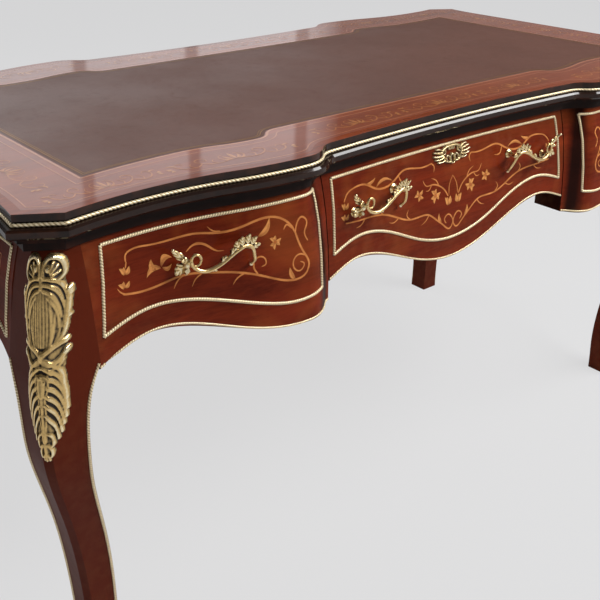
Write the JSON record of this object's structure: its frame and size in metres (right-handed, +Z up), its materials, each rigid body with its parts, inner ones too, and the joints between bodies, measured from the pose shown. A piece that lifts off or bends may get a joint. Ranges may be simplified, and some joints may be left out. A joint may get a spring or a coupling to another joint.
{
  "type": "writing desk",
  "caption": "Kneehole writing table with a shaped leather-lined top, a serpentine frieze of sliding drawers, a drawer lock, gilt mounts and cabriole legs.",
  "frame": {"origin": "on the floor, under the middle of the top", "axes": "+X along the length, towards the right-hand end seen from the front; the drawers open towards -Y; +Z up"},
  "size_m": [1.586, 0.7978, 0.78],
  "materials": {
    "marquetry_veneer": "French-polished tulipwood and kingwood veneer with stringing",
    "top_veneer": "French-polished veneered border",
    "ebonised_wood": "glossy near-black polish",
    "leg_veneer": "French-polished dark rosewood-brown",
    "tooled_leather": "brown leather, gilt tooled edge",
    "gilt_bronze": "cast and gilded, darkened in the hollows",
    "oak": "plain planed oak",
    "iron": "dull steel and iron"
  },
  "bodies": {
    "carcass": {"back_gilt_trims": "gilt_bronze", "back_panel_centre": "marquetry_veneer", "back_panel_left": "marquetry_veneer", "back_panel_right": "marquetry_veneer", "back_pull_bolts": "iron", "back_pulls": "gilt_bronze", "drawer_guides": "oak", "drawer_kickers": "oak", "drawer_runners": "oak", "frieze_cornice": "ebonised_wood", "frieze_stiles": "oak", "front_lower_rail": "oak", "front_top_rail": "oak", "knee_mount_front_left": "gilt_bronze", "knee_mount_front_right": "gilt_bronze", "knee_mount_rear_left": "gilt_bronze", "knee_mount_rear_right": "gilt_bronze", "leather_inset": "tooled_leather", "leg_bead_trims": "gilt_bronze", "leg_front_left": "leg_veneer", "leg_front_right": "leg_veneer", "leg_rear_left": "leg_veneer", "leg_rear_right": "leg_veneer", "partition_left": "oak", "partition_right": "oak", "rear_lower_rail": "oak", "rear_top_rail": "oak", "side_apron_left": "marquetry_veneer", "side_apron_right": "marquetry_veneer", "side_gilt_trim_left": "gilt_bronze", "side_gilt_trim_right": "gilt_bronze", "strike_plate": "iron", "top_edge_moulding": "ebonised_wood", "top_fixing_screws": "iron", "top_panel": "top_veneer", "top_rope_trim": "gilt_bronze"},
    "drawer_left": {"drawer_left_front": "marquetry_veneer", "drawer_left_sides": "oak", "drawer_left_back": "oak", "drawer_left_bottom": "oak", "drawer_left_gilt_trim": "gilt_bronze", "drawer_left_pull": "gilt_bronze", "drawer_left_pull_bolts": "iron"},
    "drawer_centre": {"drawer_centre_front": "marquetry_veneer", "drawer_centre_sides": "oak", "drawer_centre_back": "oak", "drawer_centre_bottom": "oak", "drawer_centre_gilt_trim": "gilt_bronze", "drawer_centre_pull": "gilt_bronze", "drawer_centre_pull_bolts": "iron", "keyhole_escutcheon": "gilt_bronze", "lock_case": "iron"},
    "drawer_right": {"drawer_right_front": "marquetry_veneer", "drawer_right_sides": "oak", "drawer_right_back": "oak", "drawer_right_bottom": "oak", "drawer_right_gilt_trim": "gilt_bronze", "drawer_right_pull": "gilt_bronze", "drawer_right_pull_bolts": "iron"},
    "lock_bolt": {"lock_bolt": "iron"}
  },
  "joints": [
    {"name": "drawer_left_slide", "type": "slide", "parent": "carcass", "child": "drawer_left", "axis": [0, -1, 0], "range_m": [0, 0.36]},
    {"name": "drawer_centre_slide", "type": "slide", "parent": "carcass", "child": "drawer_centre", "axis": [0, -1, 0], "range_m": [0, 0.36]},
    {"name": "drawer_right_slide", "type": "slide", "parent": "carcass", "child": "drawer_right", "axis": [0, -1, 0], "range_m": [0, 0.36]},
    {"name": "lock_bolt_throw", "type": "slide", "parent": "drawer_centre", "child": "lock_bolt", "axis": [0, 0, 1], "range_m": [0, 0.008]}
  ]
}
